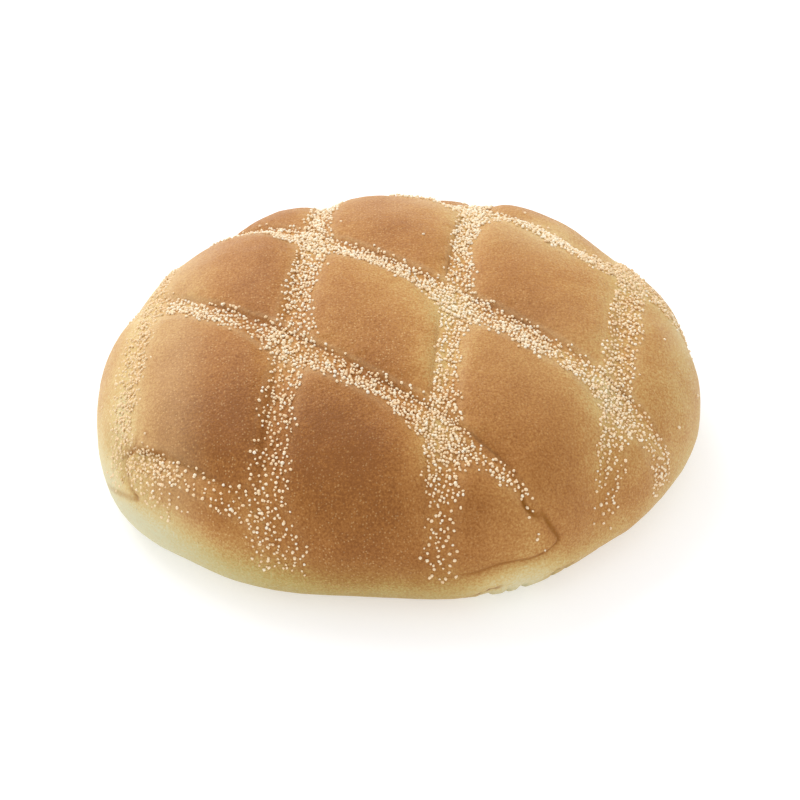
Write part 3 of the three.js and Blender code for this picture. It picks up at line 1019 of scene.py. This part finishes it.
def crust_material():
    """Baked crust: the browning, broken up by blotches and by a fine meal where it is well baked, sets
    the colour. A film of flour pales it, and painted shade darkens it along the foot and in the recesses.
    Over them lie pale specks, dark pores, and thin lines of painted shade that wander a little along the
    creases and in the slits of the folds. The surface has a slight sheen and fine bumps."""
    material, tree, shader = new_material("baked_crust")
    place = add(tree, "ShaderNodeTexCoord").outputs["Object"]
    baked = attribute(tree, "baked")
    mealy = noise(tree, place, MEAL, 3, 0.65)
    blotches = swing(tree, noise(tree, place, BLOTCHES, 3, 0.6), 0.26)
    uneven = math_node(tree, "ADD", blotches, swing(tree, mealy, 0.95))
    well_baked = rescale(tree, baked, 0.0, 0.40, 0.22, 1.0)
    factor = math_node(tree, "ADD", baked, math_node(tree, "MULTIPLY", uneven, well_baked), True)
    colour = ramp(tree, factor, CRUST_STOPS)
    colour = blend(tree, attribute(tree, "floury"), colour, FLOUR_COLOUR)
    # Painted shade along the foot and in the recesses beside the folds.
    colour = blend(tree, attribute(tree, "painted_shade"), colour, PAINTED_SHADE_COLOUR, "MULTIPLY")

    pale = spots(tree, place, SPECKS, "Red", 0.45, 0.34)
    pale = math_node(tree, "MULTIPLY", pale, attribute(tree, "coarse"))
    colour = blend(tree, pale, colour, SPECK_COLOUR)
    dark = math_node(tree, "MULTIPLY", spots(tree, place, PORES, "Green", 0.80, 0.13), 0.35)
    colour = blend(tree, dark, colour, CREASE_SHADE_AND_PORE_COLOUR)

    # Thin lines of painted shade along the creases and in the slits of the folds, wandering a little.
    wander = swing(tree, noise(tree, place, WANDERING, 2), 0.4)
    for line, width, line_colour in PAINTED_SHADE_LINES:
        off = math_node(tree, "ADD", attribute(tree, line + "_distance"), wander)
        off = math_node(tree, "ABSOLUTE", off)
        thin = rescale(tree, off, width * 0.15, width, 1.0, 0.0, "SMOOTHSTEP")
        thin = math_node(tree, "MULTIPLY", thin, attribute(tree, line + "_share"))
        colour = blend(tree, thin, colour, line_colour)
    tree.links.new(colour, shader.inputs["Base Color"])

    tree.links.new(rescale(tree, mealy, 0.0, 1.0, 0.36, 0.60), shader.inputs["Roughness"])
    shader.inputs["Specular IOR Level"].default_value = 0.22
    bumps = noise(tree, place, BUMPS, 4, 0.7)
    bump = add(tree, "ShaderNodeBump", {"Height": bumps, "Strength": 0.85, "Distance": 0.0003})
    tree.links.new(bump.outputs["Normal"], shader.inputs["Normal"])
    return material


def grain_material(name, stops):
    """Meal grains: each one's own tone picks its colour, and the surface is a little waxy."""
    material, tree, shader = new_material(name)
    tree.links.new(ramp(tree, attribute(tree, "tone"), stops), shader.inputs["Base Color"])
    shader.inputs["Roughness"].default_value = 0.5
    shader.inputs["Specular IOR Level"].default_value = 0.4
    return material


# ---- Grains ----

GRAIN_RINGS = 96
SITE_JITTER = 0.36
GRAIN_SIZE = 0.355  # half-width of a middling grain

# Least and greatest of each random draw: size, squash along three axes, and how far a corner stands.
SIZES, SQUASHES, KNOBS = (0.72, 1.22), ([0.92, 0.78, 0.68], [1.15, 1.0, 0.9]), (0.82, 1.14)

# Unevenness of the bands' edges, as the size of its cells, its height and the seed of its noise,
# and how patchy the bands are, as a height, a cell and a seed.
RAGGED, PATCHY = [(2.2, 0.5, 31), (5, 0.4, 32)], (0.28, 6, 33)

# Share of the sites on the bare lobes that hold a stray grain.
STRAY_SHARE = 0.0006

# How far a baked-over grain is sunk, and the tones of baked-over and of loose toasted grains.
SUNK, GLAZED_TONES, LOOSE_TONE = 0.22, (0.45, 0.9), 0.6

# Steps of this share of a whole never bunch up, so the sites left empty are spread evenly. A
# random part is added to each step.
GOLDEN_SHARE, ORDER_JITTER = (math.sqrt(5) - 1) / 2, 0.3

# Each layer of grains: how high its grains' middles stand over the crust, the share of grains
# below which the layer is empty, and how full it is where the share is whole.
GRAIN_LAYERS = [(0.10, 0.0, 0.95), (0.34, 0.55, 0.55)]


def grain_shape():
    """A rounded grain with the twelve corners of an icosahedron: two poles and two rings of five,
    half a step apart."""
    ring = 2 * math.pi * np.arange(5) / 5
    high = np.stack([np.cos(ring), np.sin(ring), np.full(5, 0.5)], -1)
    low = np.stack([np.cos(ring + math.pi / 5), np.sin(ring + math.pi / 5), np.full(5, -0.5)], -1)
    corners = np.concatenate([[[0, 0, 1.118]], high, low, [[0, 0, -1.118]]]) / 1.118
    i = np.arange(5)
    j = (i + 1) % 5
    cap = np.stack([np.zeros(5, int), 1 + i, 1 + j], -1)
    down = np.stack([1 + i, 6 + i, 1 + j], -1)
    up = np.stack([1 + j, 6 + i, 6 + j], -1)
    base = np.stack([np.full(5, 11), 6 + j, 6 + i], -1)
    return corners, np.concatenate([cap, down, up, base])


def turns_at_random(rng, count):
    """Rotation matrices of random unit quaternions."""
    q = rng.normal(size=(count, 4))
    w, x, y, z = (q / np.linalg.norm(q, axis=1, keepdims=True)).T
    rows = [
        [1 - 2 * (y * y + z * z), 2 * (x * y - z * w), 2 * (x * z + y * w)],
        [2 * (x * y + z * w), 1 - 2 * (x * x + z * z), 2 * (y * z - x * w)],
        [2 * (x * z - y * w), 2 * (y * z + x * w), 1 - 2 * (x * x + y * y)],
    ]
    return np.moveaxis(np.array(rows), -1, 0)


def grain_share(field):
    """Share of the sites that hold a grain: each groove's own fill inside its ragged band, both
    families together, patchy, thinning at the foot, and next to nothing on the lobes."""
    body = field["body"]
    ragged = layered_noise(body, RAGGED)
    empty = 1
    for tag in ("_a", "_b"):
        held = field["fill" + tag] * (1 - smoothstep(field["outside" + tag] + ragged, -0.4, 0.7))
        empty = empty * (1 - np.minimum(held, 1))
    height, cell, seed = PATCHY
    patchy = 1 + height * value_noise(body, cell, seed)
    share = (1 - empty) * patchy * smoothstep(body[:, 2], 8.5, 12)
    share = share + 0.6 * field["crumbly"]
    return np.clip(share, 0, 1) + STRAY_SHARE * smoothstep(body[:, 2], 12, 20)


def glazing(field):
    """How far the grains are sunk and baked over, from 0 to 1: wholly in the leftmost groove, and
    partly in the broken patch and at the right of the back."""
    x, y = field["body"][:, 0], field["body"][:, 1]
    left = smoothstep(0.1 * y - x, 45.5, 48.5)
    back = 0.6 * smoothstep(x, 32, 44) * smoothstep(y, 6, 18)
    return np.maximum(np.maximum(left, back), 0.5 * field["crumbly"])


def toasted_share(field):
    """Share of the grains that are toasted: a quarter at the back, and most of them towards the
    front and towards the right."""
    x, y = field["body"][:, 0], field["body"][:, 1]
    return 0.25 + 0.45 * np.maximum(smoothstep(-y, 10, 40), smoothstep(x, 30, 45))


def grain_layer(layer):
    """One layer's grains on jittered sites of the dome. A site holds a grain where its place in the
    order is below the local share. Gives the grains' middles, whether each is baked over, and how
    likely each is to be toasted."""
    lift, empty_below, fullness = GRAIN_LAYERS[layer]
    rng = np.random.default_rng(40 + layer)
    angle, turn = dome_sites(GRAIN_RINGS, SITE_JITTER, 50 + layer)
    points, field = crust(angle, turn)
    share = np.maximum(grain_share(field) - empty_below, 0) / (1 - empty_below) * fullness
    jitter = ORDER_JITTER * rng.uniform(size=len(angle))
    kept = np.mod(GOLDEN_SHARE * np.arange(len(angle)) + jitter, 1) < share
    glaze = glazing(field)[kept]
    raised = lift + rng.uniform(-0.10, 0.12, kept.sum()) - SUNK * glaze
    centres = points[kept] + field["normal"][kept] * raised[:, None]
    glazed = rng.uniform(size=kept.sum()) < glaze
    return centres, glazed, toasted_share(field)[kept]


def scatter_grains():
    """All the grains, each with its own size, turn, squash and knobbly corners. Gives the corners,
    faces and tones of the ivory grains and of the toasted ones, which are paler where they lie
    loose and browner where they are baked over."""
    corners, corner_faces = grain_shape()
    layers = [grain_layer(layer) for layer in range(len(GRAIN_LAYERS))]
    centres, glazed, darker = (np.concatenate(parts) for parts in zip(*layers))
    rng = np.random.default_rng(60)
    count = len(centres)
    sizes = GRAIN_SIZE * rng.uniform(*SIZES, count)
    squash = rng.uniform(*SQUASHES, (count, 3))
    knobbly = rng.uniform(*KNOBS, (count, len(corners), 1))
    local = corners[None] * knobbly * (sizes[:, None] * squash)[:, None]
    turned = np.einsum("nij,nkj->nki", turns_at_random(rng, count), local) + centres[:, None]
    toasted = (rng.uniform(size=count) < darker) | glazed
    glazed_tones = rng.uniform(*GLAZED_TONES, count)
    loose_tones = rng.uniform(0, LOOSE_TONE, count) * np.where(toasted, 1, 1 / LOOSE_TONE)
    tones = np.where(glazed, glazed_tones, loose_tones)
    kinds = []
    for kind in (~toasted, toasted):
        starts = len(corners) * np.arange(kind.sum())
        faces = corner_faces[None] + starts[:, None, None]
        tone = np.repeat(tones[kind], len(corners))
        kinds.append((turned[kind].reshape(-1, 3), faces.reshape(-1, 3), tone))
    return kinds


# ---- Building the pieces ----

# The whole model is moved so that the middle of its plan stands at the origin.
skin, skin_faces, skin_field = crust_mesh()
plan_middle = (skin.min(0) + skin.max(0)) / 2 * (1, 1, 0)
skin = (skin - plan_middle) * MM
bun_crust = make_piece("bun_crust", skin, skin_faces, crust_material(), crust_looks(skin_field))
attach(bun_crust, "root")
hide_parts("bun")

kinds = {"ivory_grain": IVORY_STOPS, "toasted_grain": TOASTED_STOPS}
for kind, (points, faces, tone) in zip(kinds, scatter_grains()):
    points = (points - plan_middle) * MM
    material = grain_material(kind, kinds[kind])
    grains = make_piece(kind + "s", points, faces, material, {"tone": tone})
    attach(grains, "root")

# ---- Studio, in metres ----

FLOOR_REACH, FLOOR_GREY, FLOOR_GLOW, FLOOR_GAP = 3, 0.62, 0.5, 0.0001
KEY_PLACE, KEY_WIDTH, KEY_POWER = (-0.45, 0.6, 0.75), 0.7, 6.9
SURROUND = 0.90

# The camera's distance in millimetres, its elevation in degrees, and the points, in millimetres,
# about which it is placed and at which it looks.
CAMERA_DISTANCE, CAMERA_ELEVATION, LENS, FILM_WIDTH = 632, 37.3, 142.7, 36
CAMERA_ABOUT, CAMERA_AIM = (0, 0, 18.95), (0.36, -4.33, 13.27)


def studio_floor():
    """A wide level square that the bun stands on."""
    mesh = bpy.data.meshes.new("floor")
    corners = [(FLOOR_REACH * x, FLOOR_REACH * y, 0) for x, y in ((-1, -1), (1, -1), (1, 1), (-1, 1))]
    mesh.from_pydata(corners, [], [(0, 1, 2, 3)])
    material, _, shader = new_material("pale_floor")
    shader.inputs["Base Color"].default_value = (FLOOR_GREY, FLOOR_GREY, FLOOR_GREY, 1)
    shader.inputs["Roughness"].default_value = 0.9
    shader.inputs["Specular IOR Level"].default_value = 0.1
    shader.inputs["Emission Color"].default_value = (1, 1, 1, 1)
    shader.inputs["Emission Strength"].default_value = FLOOR_GLOW
    mesh.materials.append(material)
    floor = bpy.data.objects.new("floor", mesh)
    bpy.context.scene.collection.objects.link(floor)
    floor.location.z = -FLOOR_GAP


def softbox(name, place, width, power):
    """A square light aimed at the bun."""
    light = bpy.data.lights.new(name, "AREA")
    light.energy = power
    light.size = width
    holder = bpy.data.objects.new(name, light)
    holder.location = place
    holder.rotation_euler = (-Vector(place)).to_track_quat("-Z", "Y").to_euler()
    bpy.context.scene.collection.objects.link(holder)


def surround(strength):
    """Even white light from all around."""
    world = bpy.data.worlds.new("studio")
    world.use_nodes = True
    background = world.node_tree.nodes["Background"]
    background.inputs["Color"].default_value = (1, 1, 1, 1)
    background.inputs["Strength"].default_value = strength
    bpy.context.scene.world = world


def add_camera():
    """A long lens in front of the bun, looking down at it."""
    elevation = math.radians(CAMERA_ELEVATION)
    back = CAMERA_DISTANCE * np.array([0, -math.cos(elevation), math.sin(elevation)])
    place = back + CAMERA_ABOUT - plan_middle
    aim = CAMERA_AIM - plan_middle
    data = bpy.data.cameras.new("camera")
    data.lens = LENS
    data.sensor_width = FILM_WIDTH
    data.clip_start, data.clip_end = 0.05, 20
    camera = bpy.data.objects.new("camera", data)
    camera.location = Vector(place * MM)
    camera.rotation_euler = Vector(aim - place).to_track_quat("-Z", "Y").to_euler()
    bpy.context.scene.collection.objects.link(camera)
    bpy.context.scene.camera = camera


studio_floor()
softbox("key", KEY_PLACE, KEY_WIDTH, KEY_POWER)
surround(SURROUND)
add_camera()
bpy.context.scene.view_settings.view_transform = "Standard"
